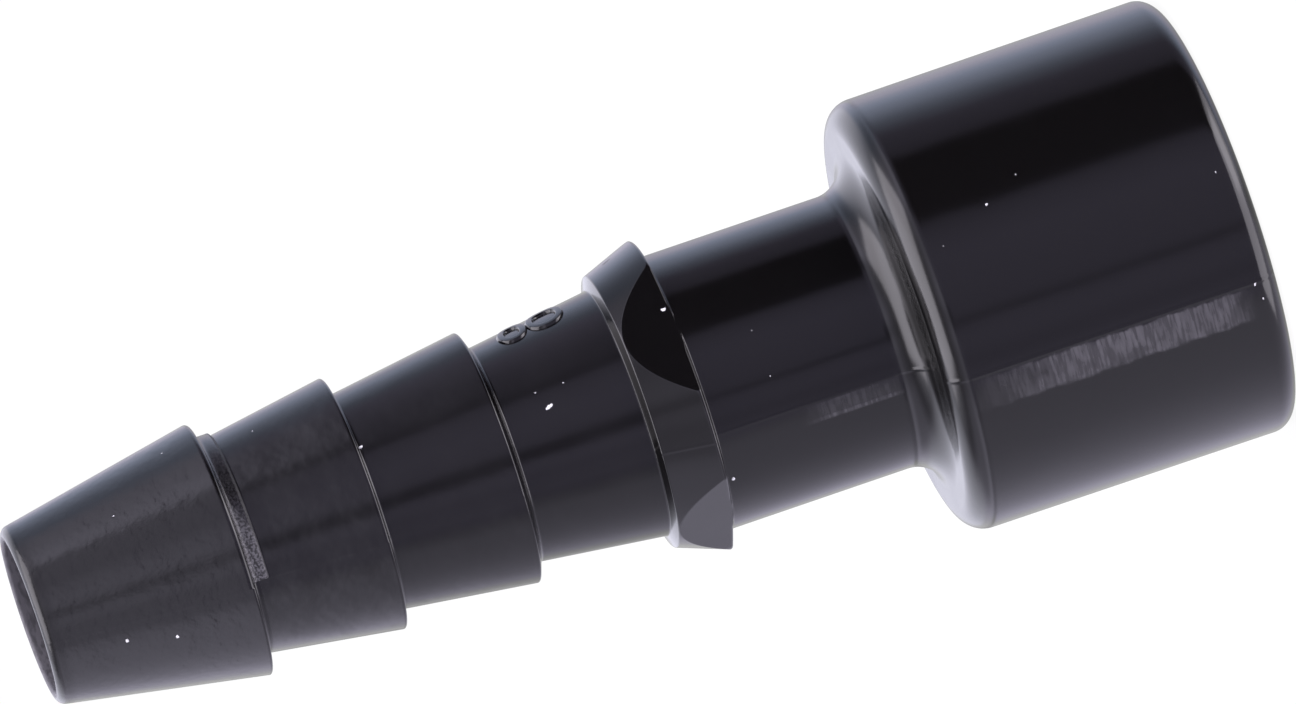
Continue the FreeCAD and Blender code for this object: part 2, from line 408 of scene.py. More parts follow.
place = looked_up(add(lathe, "GeometryNodeInputPosition").outputs[0])
move = looked_up(named("cut"))
half = looked_up(named("halves"))
print("the lathe reads", len(profile_mesh.attributes), "attributes of the outline")

# %% How far the rim drops for a flat, and each point with it
half_gap = maths(lathe, "MULTIPLY", given["Flat Spacing"], 0.5)
from_first = maths(lathe, "SUBTRACT", angle, given["First Flat"])
from_middle = maths(lathe, "WRAP", from_first, half_gap, maths(lathe, "MULTIPLY", half_gap, -1.0))
flat_here = maths(lathe, "DIVIDE", given["Half Across Flats"], maths(lathe, "COSINE", from_middle))
drop = maths(lathe, "MAXIMUM", maths(lathe, "SUBTRACT", given["Rim Radius"], flat_here), 0.0)
own_drop = maths(lathe, "MINIMUM", drop, move[2])
lowered = maths(lathe, "SUBTRACT", place[0], maths(lathe, "MULTIPLY", move[0], own_drop))
drifted = maths(lathe, "ADD", place[2], maths(lathe, "MULTIPLY", move[1], own_drop))

# A row that drops stops at the collar's front edge, and rows that never drop aren't held back at all.
moves = maths(lathe, "GREATER_THAN", move[0], 1e-4)
stays = maths(lathe, "SUBTRACT", 1.0, moves)
held_up = maths(lathe, "MAXIMUM", lowered, maths(lathe, "MULTIPLY", moves, given["Front Radius"]))
ceiling = maths(lathe, "ADD", flat_here, maths(lathe, "LESS_THAN", move[2], 1e-6))
cut_radius = maths(lathe, "MINIMUM", held_up, ceiling)
cut_height = maths(lathe, "MINIMUM", drifted, maths(lathe, "ADD", given["Front Height"], stays))
print("the flats are cut, with", len(lathe.nodes), "nodes so far")

# %% The upper half of the mould, and the seam where the halves meet
upper = maths(lathe, "LESS_THAN", maths(lathe, "SINE", angle), -1e-5)
half_radius = maths(lathe, "MULTIPLY_ADD", half[0], upper, cut_radius)
height = maths(lathe, "MULTIPLY_ADD", half[2], upper, cut_height)
off_plane = maths(lathe, "ABSOLUTE", maths(lathe, "MULTIPLY", half_radius, maths(lathe, "SINE", angle)))
near = maths(lathe, "SUBTRACT", 1.0, maths(lathe, "DIVIDE", off_plane, given["Seam Width"]))
ridge = maths(lathe, "SMOOTH_MAX", near, 0.0, 0.2)
raised = maths(lathe, "MULTIPLY", maths(lathe, "MULTIPLY", ridge, half[1]), given["Seam Height"])
radius = maths(lathe, "ADD", half_radius, raised)
across_x = maths(lathe, "MULTIPLY", radius, maths(lathe, "COSINE", angle))
across_y = maths(lathe, "MULTIPLY", radius, maths(lathe, "SINE", angle))
swung = add(lathe, "ShaderNodeCombineXYZ", {0: across_x, 1: across_y, 2: height}).outputs[0]
flat_grid = {"Geometry": grid.outputs["Mesh"], "Position": swung}
turned = add(lathe, "GeometryNodeSetPosition", flat_grid).outputs[0]
closed = add(lathe, "GeometryNodeMergeByDistance", {"Geometry": turned, "Distance": 1e-6}).outputs[0]
close_tree(lathe, closed, given["Material"])
print("the lathe tree has", len(lathe.nodes), "nodes")

# %% The turned body
nylon = bpy.data.materials.new("black_moulded_nylon")
connector_body = made_by(
    lathe,
    "connector_body",
    profile_mesh,
    {
        "Columns": 400,
        "Crowding": 0.36,
        "Half Across Flats": 5.035 * MM,
        "Rim Radius": RIM_RADIUS * MM,
        "Front Radius": front_row.x * MM,
        "Front Height": front_row.y * MM,
        "First Flat": math.radians(47.2),
        "Flat Spacing": math.radians(90),
        "Seam Height": 0.020 * MM,
        "Seam Width": 0.09 * MM,
        "Material": nylon,
    },
)

# %% [markdown]
# ## The raised size figure
#
# The mould maker cut the size of the hose, 8, into the steel with a small engraving tool, so it stands up
# on the last cone before the collar. Its stroke is a little trapezoid with rounded shoulders that follows
# two loops, a small one towards the open end and a larger one towards the collar. Here the loops are drawn
# flat, the stroke is swept along them, and the tree then wraps the whole figure round the cone.

# %% The two loops, drawn flat: across the part, and along it
loops = [(0.60, 25.37, 0.40), (0.63, 24.125, 0.555)]
LOOP_POINTS = 56

loop_points, loop_edges = [], []
for half_width, middle_height, half_height in loops:
    first_point = len(loop_points)
    for step in range(LOOP_POINTS):
        swept = math.tau * step / LOOP_POINTS
        bulge = [math.copysign(abs(value) ** 0.85, value) for value in (math.cos(swept), math.sin(swept))]
        loop_points.append((half_width * bulge[0] * MM, (middle_height + half_height * bulge[1]) * MM, 0.0))
        loop_edges.append((first_point + step, first_point + (step + 1) % LOOP_POINTS))
loops_mesh = bpy.data.meshes.new("figure_loops")
loops_mesh.from_pydata(loop_points, loop_edges, [])
print("the figure's loops have", len(loop_points), "points")

# %% A stroke along the loops, wrapped round the cone
engraving, wanted = new_tree(
    "engraving",
    ("Stroke Foot", "Float"),
    ("Stroke Top", "Float"),
    ("Stroke Height", "Float"),
    ("Shoulder", "Float"),
    ("Proud", "Float"),
    ("Cone Radius", "Float"),
    ("Cone Height", "Float"),
    ("Cone Slope", "Float"),
    ("Middle Angle", "Float"),
    ("Material", "Material"),
)
path = add(engraving, "GeometryNodeMeshToCurve", {"Mesh": wanted["Geometry"]}).outputs[0]
path = add(engraving, "GeometryNodeSetCurveNormal", {"Curve": path}, mode="Z_UP").outputs[0]
stroke_sizes = {"Bottom Width": wanted["Stroke Foot"], "Top Width": wanted["Stroke Top"]}
stroke_sizes.update({"Height": wanted["Stroke Height"], "Offset": 0.0})
stroke = add(engraving, "GeometryNodeCurvePrimitiveQuadrilateral", stroke_sizes, mode="TRAPEZOID").outputs[0]
rounded = {"Curve": stroke, "Count": 3, "Radius": wanted["Shoulder"], "Limit Radius": True}
stroke = add(engraving, "GeometryNodeFilletCurve", rounded, mode="POLY").outputs[0]
swept_stroke = add(engraving, "GeometryNodeCurveToMesh", {"Curve": path, "Profile Curve": stroke}).outputs[0]
swept_stroke = add(engraving, "GeometryNodeFlipFaces", {"Mesh": swept_stroke}).outputs[0]
flat_place = add(engraving, "GeometryNodeInputPosition").outputs[0]
flat_figure = add(engraving, "ShaderNodeSeparateXYZ", {"Vector": flat_place}).outputs
down_cone = maths(engraving, "SUBTRACT", flat_figure[1], wanted["Cone Height"])
cone_radius = maths(engraving, "MULTIPLY_ADD", down_cone, wanted["Cone Slope"], wanted["Cone Radius"])
out = maths(engraving, "MULTIPLY_ADD", flat_figure[2], -1.0, wanted["Proud"])
figure_radius = maths(engraving, "ADD", cone_radius, out)
figure_turn = maths(engraving, "DIVIDE", flat_figure[0], wanted["Cone Radius"])
figure_angle = maths(engraving, "ADD", figure_turn, wanted["Middle Angle"])
figure_x = maths(engraving, "MULTIPLY", figure_radius, maths(engraving, "COSINE", figure_angle))
figure_y = maths(engraving, "MULTIPLY", figure_radius, maths(engraving, "SINE", figure_angle))
wrapped = add(engraving, "ShaderNodeCombineXYZ", {0: figure_x, 1: figure_y, 2: flat_figure[1]}).outputs[0]
flat_stroke = {"Geometry": swept_stroke, "Position": wrapped}
figure = add(engraving, "GeometryNodeSetPosition", flat_stroke).outputs[0]
close_tree(engraving, figure, wanted["Material"])
print("the engraving tree has", len(engraving.nodes), "nodes")

# %% The size figure
FIGURE_HEIGHT = 24.7
cone_end = COLLAR_FRONT + FRONT_LEAN
cone_slope = (LAST_CONE_RADIUS - barbs[2][1]) / (cone_end - corners[LAST_ROOT][1])
size_figure = made_by(
    engraving,
    "size_figure",
    loops_mesh,
    {
        "Stroke Foot": 0.40 * MM,
        "Stroke Top": 0.20 * MM,
        "Stroke Height": 0.14 * MM,
        "Shoulder": 0.035 * MM,
        "Proud": 0.03 * MM,
        "Cone Radius": (LAST_CONE_RADIUS + cone_slope * (FIGURE_HEIGHT - cone_end)) * MM,
        "Cone Height": FIGURE_HEIGHT * MM,
        "Cone Slope": cone_slope,
        "Middle Angle": math.radians(-88.3),
        "Material": nylon,
    },
)
figure_heights = [vertex.co.z / MM for vertex in size_figure.data.vertices]
print("the figure stands from", round(min(figure_heights), 2), "to", round(max(figure_heights), 2), "mm up")

# %% [markdown]
# ## Settled dust
#
# Black gloss shows every speck, and a part out of a bag always has a few. Each is a grain pressed flat on
# the surface, so the tree puts a small ball at each place, squashes it to the grain's length, width and
# thickness, turns it to lie on the part a little askew, and dents it with noise so that no two look alike.

# %% Where the grains lie: height, angle, distance from the axis, length, width, and thickness
grains = [
    (20.39, -123.7, 5.10, 0.18, 0.13, 0.07),
    (31.93, -131.7, 3.95, 0.20, 0.12, 0.08),
    (41.79, 170.2, 3.75, 0.13, 0.13, 0.06),
    (40.10, 165.7, 4.07, 0.12, 0.12, 0.06),
    (7.56, -133.8, 7.97, 0.07, 0.06, 0.04),
    (8.90, -139.0, 7.96, 0.12, 0.08, 0.04),
    (25.25, -144.6, 4.15, 0.36, 0.12, 0.06),
    (0.88, 179.6, 7.99, 0.13, 0.09, 0.06),
    (24.52, -135.9, 4.25, 0.05, 0.045, 0.03),
    (25.53, -135.3, 4.12, 0.05, 0.045, 0.03),
    (19.92, 158.3, 5.03, 0.13, 0.12, 0.07),
    (38.43, -96.8, 4.38, 0.05, 0.05, 0.03),
    (0.72, 175.2, 7.98, 0.10, 0.08, 0.05),
    (10.87, -145.7, 7.97, 0.045, 0.04, 0.02),
    (0.97, -150.3, 7.99, 0.045, 0.04, 0.02),
    (17.79, -144.5, 5.03, 0.04, 0.035, 0.02),
    (17.70, -164.2, 5.03, 0.04, 0.035, 0.02),
    (40.84, -122.5, 3.93, 0.05, 0.04, 0.02),
    (35.17, -99.1, 4.16, 0.05, 0.05, 0.02),
    (2.30, 64.0, 7.99, 0.12, 0.10, 0.05),
    (15.10, 22.0, 5.03, 0.11, 0.09, 0.05),
    (29.80, 48.0, 4.25, 0.10, 0.08, 0.05),
    (39.60, 95.0, 4.15, 0.12, 0.09, 0.05),
]
grain_mesh = bpy.data.meshes.new("grain_places")
grain_places = []
for height_mm, degrees, distance, *_ in grains:
    flat_place = Matrix.Rotation(math.radians(degrees), 3, "Z") @ Vector((distance, 0.0, height_mm))
    grain_places.append(flat_place * MM)
grain_mesh.from_pydata(grain_places, [], [])
grain_sizes = grain_mesh.attributes.new("grain", "FLOAT_VECTOR", "POINT")
for item, (*_, long, wide, thick) in zip(grain_sizes.data, grains):
    item.vector = (wide * MM, long * MM, thick * MM)
print(len(grains), "grains of dust")

# %% A dented ball for each grain
dusting, chosen = new_tree("dusting", ("Dent", "Float"), ("Dent Size", "Float"), ("Material", "Material"))
ball = add(dusting, "GeometryNodeMeshIcoSphere", {"Radius": 0.5, "Subdivisions": 3}).outputs[0]
grain_spot = add(dusting, "GeometryNodeInputPosition").outputs[0]
level_place = {0: grain_spot, 1: (1.0, 1.0, 0.0)}
outwards = add(dusting, "ShaderNodeVectorMath", level_place, operation="MULTIPLY").outputs[0]
skewed = {"Vector": outwards, "Rotation": (0.0, 0.0, math.radians(-32))}
lying = add(dusting, "FunctionNodeAlignRotationToVector", skewed, axis="Z").outputs[0]
grain_size = add(dusting, "GeometryNodeInputNamedAttribute", {"Name": "grain"}, data_type="FLOAT_VECTOR")
spread = add(
    dusting,
    "GeometryNodeInstanceOnPoints",
    {"Points": chosen["Geometry"], "Instance": ball, "Rotation": lying, "Scale": grain_size.outputs[0]},
).outputs[0]
real_balls = add(dusting, "GeometryNodeRealizeInstances", {"Geometry": spread}).outputs[0]
ball_spot = add(dusting, "GeometryNodeInputPosition").outputs[0]
lumps = {"Vector": ball_spot, "Scale": maths(dusting, "DIVIDE", 1.0, chosen["Dent Size"]), "Detail": 2.0}
noise = add(dusting, "ShaderNodeTexNoise", lumps).outputs["Color"]
half_grey = {0: noise, 1: (0.5, 0.5, 0.5)}
centred = add(dusting, "ShaderNodeVectorMath", half_grey, operation="SUBTRACT").outputs[0]
dent = {0: centred, "Scale": chosen["Dent"]}
shift = add(dusting, "ShaderNodeVectorMath", dent, operation="SCALE").outputs[0]
dented = add(dusting, "GeometryNodeSetPosition", {"Geometry": real_balls, "Offset": shift}).outputs[0]
close_tree(dusting, dented, chosen["Material"])
print("the dusting tree has", len(dusting.nodes), "nodes")

# %% The grains
dust_finish = bpy.data.materials.new("settled_lint_dust")
dust_grains = made_by(
    dusting,
    "dust_grains",
    grain_mesh,
    {"Dent": 0.10 * MM, "Dent Size": 0.06 * MM, "Material": dust_finish},
)

# %% [markdown]
# ## Black moulded nylon
#
# Nylon is coloured black with soot through and through, and the polished steel of the mould leaves it
# glossy. What the eye sees is hardly the black itself but the room in its gloss, so the finish is a very
# dark base under a clear reflection, and everything else is about how clean that reflection is. The socket
# is the shiniest. Towards the hose end the mould was less polished, and the surface is never quite flat:
# plastic shrinks as it cools and leaves faint waves a few millimetres long with finer ripples on them.

# %% Heights and places for the patterns, in millimetres
nylon.use_nodes = True
paint = nylon.node_tree
shader = paint.nodes["Principled BSDF"]
object_place = add(paint, "ShaderNodeTexCoord").outputs["Object"]
to_mm = (1 / MM, 1 / MM, 1 / MM)
in_mm = add(paint, "ShaderNodeMapping", {"Vector": object_place, "Scale": to_mm}).outputs[0]
spot = add(paint, "ShaderNodeSeparateXYZ", {"Vector": in_mm}).outputs


def faded(tree, value, low, high, start=0.0, end=1.0):
    """A smooth step of a value between two places, from start to end."""
    wanted = {"Value": value, "From Min": low, "From Max": high, "To Min": start, "To Max": end}
    return add(tree, "ShaderNodeMapRange", wanted, interpolation_type="SMOOTHSTEP").outputs["Result"]


def window(value, start, full, still_full, end):
    """1 between two places of the nylon's patterns, fading to 0 on either side."""
    return maths(paint, "MULTIPLY", faded(paint, value, start, full), faded(paint, value, end, still_full))


def speckle(tree, place, size_mm, detail=2.0, stretch=(1.0, 1.0, 1.0)):
    """Noise from 0 to 1 whose lumps are about that size, in millimetres."""
    stretched = add(tree, "ShaderNodeMapping", {"Vector": place, "Scale": stretch}).outputs[0]
    lumps = {"Vector": stretched, "Scale": 1 / size_mm, "Detail": detail}
    return add(tree, "ShaderNodeTexNoise", lumps).outputs["Fac"]


print("patterns are measured in millimetres from the middle of the mouth")

# %% How dull the gloss is
shader.inputs["IOR"].default_value = 1.53
dull_tail = faded(paint, spot[2], 12.0, 24.0, 0.13, 0.15)
patchy = maths(paint, "MULTIPLY_ADD", speckle(paint, in_mm, 1.6), 0.06, -0.03)
gloss = maths(paint, "ADD", dull_tail, patchy)
# Corners are the hardest part of a mould to polish, so the lamps' lines on them are soft.
shoulder_corner = window(spot[2], 11.2, 11.6, 13.0, 13.4)
tip_corner = faded(paint, spot[2], TIP - 0.75, TIP - 0.35, 0.0, 1.3)
end_corners = maths(paint, "MAXIMUM", faded(paint, spot[2], 0.7, 0.3), tip_corner)
gloss = maths(paint, "MULTIPLY_ADD", maths(paint, "MAXIMUM", shoulder_corner, end_corners), 0.08, gloss)
print("roughness runs from 0.13 at the socket to 0.15 at the hose end")

# %% The strip beside the seam where the part was rubbed, with a painted reflection
# Parts slide against each other in the bag, and the seam's ridge takes it. The strip is combed with fine
# lines round the part, and its edges waver. On the neck it is two lines along the part with a haze between.
# Its paler colour is partly that wear and partly a painted reflection of a light strip.
left_side = faded(paint, spot[0], -0.5, -1.5)
above_seam = maths(paint, "SUBTRACT", spot[1], 0.12)
waver = maths(paint, "MULTIPLY_ADD", speckle(paint, in_mm, 0.5, 3.0), 0.24, above_seam)
along_socket = window(spot[2], 0.9, 2.2, 7.0, 12.0)
socket_rub_and_painted_sheen = maths(paint, "MULTIPLY", window(waver, 0.06, 0.20, 1.24, 1.42), along_socket)
FIRST_LINE, SECOND_LINE = 0.16, 0.70
off_first = maths(paint, "ABSOLUTE", maths(paint, "SUBTRACT", spot[1], FIRST_LINE))
off_second = maths(paint, "ABSOLUTE", maths(paint, "SUBTRACT", spot[1], SECOND_LINE))
neck_lines = maths(paint, "MULTIPLY", faded(paint, off_first, 0.10, 0.03), 0.5)
neck_lines = maths(paint, "ADD", neck_lines, faded(paint, off_second, 0.13, 0.03))
between_lines = window(spot[1], 0.10, 0.22, 0.66, 0.78)
neck_lines = maths(paint, "MAXIMUM", neck_lines, maths(paint, "MULTIPLY", between_lines, 0.45))
neck_rub_and_painted_sheen = maths(paint, "MULTIPLY", neck_lines, window(spot[2], 13.2, 13.8, 15.6, 17.2))
COMB_SPACING = 0.12
combed = speckle(paint, in_mm, COMB_SPACING, 3.0, (0.05, 0.12, 1.0))
blots = speckle(paint, in_mm, 0.8, 2.0)
comb = faded(paint, combed, 0.36, 0.68, 0.35, 0.85)
# Both strips pale the colour with rub marks and a painted reflection.
rub_and_painted_sheen_strips = maths(paint, "MULTIPLY_ADD", neck_rub_and_painted_sheen, 0.9, socket_rub_and_painted_sheen)
rubbed_and_painted_sheen = maths(paint, "MULTIPLY", rub_and_painted_sheen_strips, left_side)
rubbed_and_painted_sheen = maths(paint, "MULTIPLY", rubbed_and_painted_sheen, faded(paint, blots, 0.28, 0.55, 0.45, 1.0))
rub_and_painted_sheen = maths(paint, "MULTIPLY", rubbed_and_painted_sheen, comb)
print("the lines of the rubbed strips are about", COMB_SPACING, "mm apart")

# %% The rough land behind the first barb, with painted glints
# Its grit starts at the barb's back face and widens towards the seam. The lip where it ends is dull too.
# The grit's pale colour is partly scuffing and partly painted glints, fainter away from the seam.
GRIT_SIZE = 0.08
upper_side = faded(paint, spot[1], 0.02, -0.02)
land = maths(paint, "MULTIPLY", window(spot[2], LAND_END - 0.06, LAND_END, 36.98, 37.06), upper_side)
land_grit = speckle(paint, in_mm, GRIT_SIZE, 3.0)
above_edge = maths(paint, "SUBTRACT", spot[2], maths(paint, "MULTIPLY_ADD", spot[1], -0.41, 35.77))
upward = faded(paint, spot[1], -3.0, -2.5, 0.35, 1.0)
gritty = maths(paint, "MULTIPLY", faded(paint, above_edge, -0.05, 0.05), upward)
gritty = maths(paint, "MULTIPLY", land, maths(paint, "MAXIMUM", gritty, 0.3))
lip = window(spot[2], LAND_END - 0.09, LAND_END - 0.04, LAND_END + 0.02, LAND_END + 0.07)
lip = maths(paint, "MULTIPLY", maths(paint, "MULTIPLY", lip, 1.4), upper_side)
dull_land = maths(paint, "MAXIMUM", gritty, lip)
painted_glint_fade = faded(paint, spot[1], -3.0, -0.6, 0.45, 0.9)
# Pale grit in the colour: partly scuffing, partly painted glints, fainter away from the seam.
scuffs_and_painted_glints = maths(paint, "MULTIPLY", gritty, faded(paint, land_grit, 0.40, 0.60, 0.1, 1.0))
scuffs_and_painted_glints = maths(paint, "MULTIPLY", scuffs_and_painted_glints, painted_glint_fade)
print("grains of the land's grit are", GRIT_SIZE, "mm across")

# %% The bore at the tip
# Its core pin was never polished, so the wall is matt. Its grey colour is painted light, brightest at the
# rim and darkening into painted shade deeper in, with streaks, against the gloss outside.
MATT_WITHIN = 2.9
flattened = {0: in_mm, 1: (1.0, 1.0, 0.0)}
from_axis = add(paint, "ShaderNodeVectorMath", flattened, operation="MULTIPLY").outputs[0]
from_axis = add(paint, "ShaderNodeVectorMath", {0: from_axis}, operation="LENGTH").outputs["Value"]
by_wall = faded(paint, from_axis, MATT_WITHIN + 0.1, MATT_WITHIN)
matt_bore = maths(paint, "MULTIPLY", by_wall, faded(paint, spot[2], 30.0, 40.0))
bore_streaks = faded(paint, speckle(paint, in_mm, 0.16, 3.0, (0.6, 0.35, 1.2)), 0.35, 0.7)
print("the passage is matt within", MATT_WITHIN, "mm of the axis")

# %% Colour and roughness together
# The paler colour mixes wear with painted light: the painted reflection on the rubbed strips, painted glints
# on the land and painted light in the tip's bore.
wear_and_painted_light = maths(paint, "MULTIPLY_ADD", rub_and_painted_sheen, 0.72, scuffs_and_painted_glints)
# The bore's painted light: brightest at the rim, darker deeper in.
painted_light_by_rim = faded(paint, spot[2], TIP - 0.9, TIP - 0.1, 0.15, 1.6)
bore_painted_light = maths(paint, "MULTIPLY", maths(paint, "MULTIPLY_ADD", bore_streaks, 0.6, 0.4), painted_light_by_rim)
wear_and_painted_light = maths(paint, "MULTIPLY_ADD", matt_bore, bore_painted_light, wear_and_painted_light)
tones = {0: wear_and_painted_light, 6: screen_colour("080707"), 7: screen_colour("5c5a5e")}
paint.links.new(add(paint, "ShaderNodeMix", tones, data_type="RGBA").outputs[2], shader.inputs["Base Color"])
rough = gloss
for where, duller in ((rub_and_painted_sheen, 0.30), (dull_land, 0.30), (matt_bore, 0.35)):
    rough = maths(paint, "MULTIPLY_ADD", where, duller, rough)
paint.links.new(rough, shader.inputs["Roughness"])
print("the colour and the roughness are linked, with", len(paint.nodes), "nodes so far")

# %% The relief, in layers: the pattern, where it shows, and how high it stands in millimetres
tail_side = faded(paint, spot[2], 20.0, 27.0)
tip_side = faded(paint, spot[2], 36.6, 38.5, 0.12, 1.0)
layers = [
    (speckle(paint, in_mm, 1.1, 2.0), tail_side, 0.009),
    (speckle(paint, in_mm, 0.4, 1.0), tip_side, 0.009),
    (speckle(paint, in_mm, 0.13, 2.0), tip_side, 0.003),
    (combed, rubbed_and_painted_sheen, 0.02),
    (land_grit, gritty, 0.012),
]
relief = maths(paint, "MULTIPLY", speckle(paint, in_mm, 3.5, 1.0), 0.025)
for pattern, where, height_mm in layers:
    relief = maths(paint, "MULTIPLY_ADD", maths(paint, "MULTIPLY", pattern, where), height_mm, relief)

# Something knocked the top of the collar's cone and left a slanting nick.
NICK_PLACE = (0.93, -5.25, 21.34)
NICK_DEPTH = 0.04
off_nick = {0: in_mm, 1: NICK_PLACE}
to_nick = add(paint, "ShaderNodeVectorMath", off_nick, operation="SUBTRACT").outputs[0]
along_nick = {"Vector": to_nick, "Rotation": (0.0, math.radians(50), 0.0), "Scale": (1.0, 0.6, 0.45)}
to_nick = add(paint, "ShaderNodeMapping", along_nick).outputs[0]
to_nick = add(paint, "ShaderNodeVectorMath", {0: to_nick}, operation="LENGTH").outputs["Value"]
relief = maths(paint, "SUBTRACT", relief, faded(paint, to_nick, 0.10, 0.03, 0.0, NICK_DEPTH))
bump = add(paint, "ShaderNodeBump", {"Height": relief, "Distance": MM, "Strength": 1.0}).outputs[0]
paint.links.new(bump, shader.inputs["Normal"])
print("the nylon has", len(paint.nodes), "nodes")

# %% [markdown]
# ## Dust
#
# Dust on a moulded part is lint and paper dust: pale, matt and a little uneven in tone.

# %% The dust's nodes
dust_finish.use_nodes = True
lint = dust_finish.node_tree
lint_shader = lint.nodes["Principled BSDF"]
lint_place = add(lint, "ShaderNodeTexCoord").outputs["Object"]
lint_mm = add(lint, "ShaderNodeMapping", {"Vector": lint_place, "Scale": to_mm}).outputs[0]
lint_tone = faded(lint, speckle(lint, lint_mm, 0.06), 0.35, 0.65)
lint_colours = {0: lint_tone, 6: screen_colour("c9c8cc"), 7: screen_colour("f4f3f5")}
lint_colour = add(lint, "ShaderNodeMix", lint_colours, data_type="RGBA").outputs[2]
lint.links.new(lint_colour, lint_shader.inputs["Base Color"])
lint_shader.inputs["Roughness"].default_value = 0.75
print("the dust has", len(lint.nodes), "nodes")

# %% The pieces take the solid's place
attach(connector_body, "root")
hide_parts("hose_connector")
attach(size_figure, "root")
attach(dust_grains, "root")
print("three pieces ride on the root body")

# %% [markdown]
# ## The camera
#
# The rings of the part look almost like straight lines, and the far end of it is hardly smaller than the
# near one, so the picture was taken from far off through a long lens. The part lies across the picture, and
# the camera stands a little towards its hose end, which is why the open tip shows.

# %% Directions round the part, as the camera sees them
CAMERA_AZIMUTH = -70.0
CAMERA_TILT = 7.207
CAMERA_TURN = 18.820
CAMERA_DISTANCE = 645.8
CAMERA_FOCUS = 18418.0
CAMERA_SHIFT = (-0.734, -2.145)
PHOTO_WIDTH = 1296

swing = math.radians(CAMERA_AZIMUTH)
towards_camera = Vector((math.sin(swing), -math.cos(swing), 0.0))
towards_top = Vector((math.cos(swing), math.sin(swing), 0.0))
towards_mouth = Vector((0.0, 0.0, -1.0))


def placed_by(x_axis, y_axis, z_axis, origin):
    """The matrix of something with those axes and that origin."""
    turned_to = Matrix((x_axis, y_axis, z_axis)).transposed().to_4x4()
    return Matrix.Translation(origin) @ turned_to


print("the camera stands towards", tuple(round(value, 3) for value in towards_camera))

# %% The camera
tilt, turn = math.radians(CAMERA_TILT), math.radians(CAMERA_TURN)
level = towards_mouth * math.cos(tilt) + towards_camera * math.sin(tilt)
back = -towards_mouth * math.sin(tilt) + towards_camera * math.cos(tilt)
right = level * math.cos(turn) - towards_top * math.sin(turn)
up = level * math.sin(turn) + towards_top * math.cos(turn)
middle = Vector((0.0, 0.0, TIP / 2 * MM))
eye = middle + (back * CAMERA_DISTANCE - right * CAMERA_SHIFT[0] - up * CAMERA_SHIFT[1]) * MM

camera_data = bpy.data.cameras.new("camera")
camera_data.sensor_width = 36.0
camera_data.lens = CAMERA_FOCUS * camera_data.sensor_width / PHOTO_WIDTH
camera_data.clip_start, camera_data.clip_end = 0.05, 20.0
camera = bpy.data.objects.new("camera", camera_data)
camera.matrix_world = placed_by(right, up, back, eye)
bpy.context.scene.collection.objects.link(camera)
bpy.context.scene.camera = camera
print("the lens is", round(camera_data.lens), "mm long")

# %% [markdown]
# ## The studio
#
# The photograph has a white ground with no shadow on it, and yet the gloss of the part shows a dark room
# with white cards round it. So the floor and the air are white only for the camera, and the gloss sees the
# tent alone. The floor still takes the part's own soft shadow where it touches it.

# %% The floor
FLOOR_SIZE = 3.0
floor_mesh = bpy.data.meshes.new("floor")
floor_corners = [(x * FLOOR_SIZE, y * FLOOR_SIZE, 0.0) for x, y in ((-1, -1), (1, -1), (1, 1), (-1, 1))]
floor_mesh.from_pydata(floor_corners, [], [(0, 1, 2, 3)])
floor = bpy.data.objects.new("floor", floor_mesh)
bpy.context.scene.collection.objects.link(floor)
floor.visible_glossy = False
floor.visible_shadow = False
card = bpy.data.materials.new("white_card")
card.use_nodes = True
card_tree = card.node_tree
card_tree.nodes.clear()
seen = add(card_tree, "ShaderNodeLightPath").outputs["Is Camera Ray"]
lit = add(card_tree, "ShaderNodeBsdfDiffuse", {"Color": screen_colour("f6f6f6")}).outputs[0]
glow = add(card_tree, "ShaderNodeEmission", {"Color": (1.0, 1.0, 1.0, 1.0), "Strength": 1.0}).outputs[0]
white_share = maths(card_tree, "MULTIPLY", seen, 0.93)
blended = add(card_tree, "ShaderNodeMixShader", {0: white_share, 1: lit, 2: glow}).outputs[0]
add(card_tree, "ShaderNodeOutputMaterial", {"Surface": blended})
floor_mesh.materials.append(card)
print("the floor is", 2 * FLOOR_SIZE, "m wide")

# %% [markdown]
# ## The light tent
#
# The gloss of a round part is a map of the room, read round its axis. Where the photograph shows a dark
# band along the neck there is a black card above the camera, and the pale lower edge is a white card below
# it. The cones of the hose tail lean a little, so they look past the cards towards the lighter end of the
# tent. The tent is therefore painted as rings, each a ramp of tones by bearing round the part, with 0
# towards the camera and 90 towards the top of the picture, and the rings follow each other from the mouth's
# side to the tip's.
#
# Past the last ring the tent is dim in front and white again behind the part, where the rounded tip and the
# shoulder of the socket look when they turn away from the camera. The levels were found by comparing the
# brightness along and across the part in the photograph and in test pictures.

# %% A ring of the tent
world = bpy.data.worlds.new("light_tent")
bpy.context.scene.world = world
world.use_nodes = True
tent = world.node_tree
tent.nodes.clear()
direction = add(tent, "ShaderNodeTexCoord").outputs["Generated"]
quarter = (0.0, 0.0, math.radians(90 - CAMERA_AZIMUTH))
round_the_axis = add(tent, "ShaderNodeMapping", {"Vector": direction, "Rotation": quarter}).outputs[0]
swept_round = add(tent, "ShaderNodeTexGradient", {"Vector": round_the_axis}, gradient_type="RADIAL")
bearing = swept_round.outputs["Fac"]
COOL, PALE = (0.96, 0.90, 1.25), (0.98, 0.945, 1.16)


def tent_ring(tones):
    """A ramp of tones by bearing, each given as (bearing in degrees, level, tint)."""
    made = add(tent, "ShaderNodeValToRGB", {"Fac": bearing})
    ramp = made.color_ramp
    while len(ramp.elements) > 1:
        ramp.elements.remove(ramp.elements[-1])
    for number, (degrees, brightness, tint) in enumerate(tones):
        place_on_ramp = 0.5 + degrees / 360
        element = ramp.elements[0] if number == 0 else ramp.elements.new(place_on_ramp)
        element.position = place_on_ramp
        element.color = (*[brightness * share for share in tint], 1.0)
    return made.outputs["Color"]


print("a ring can have up to 32 tones")

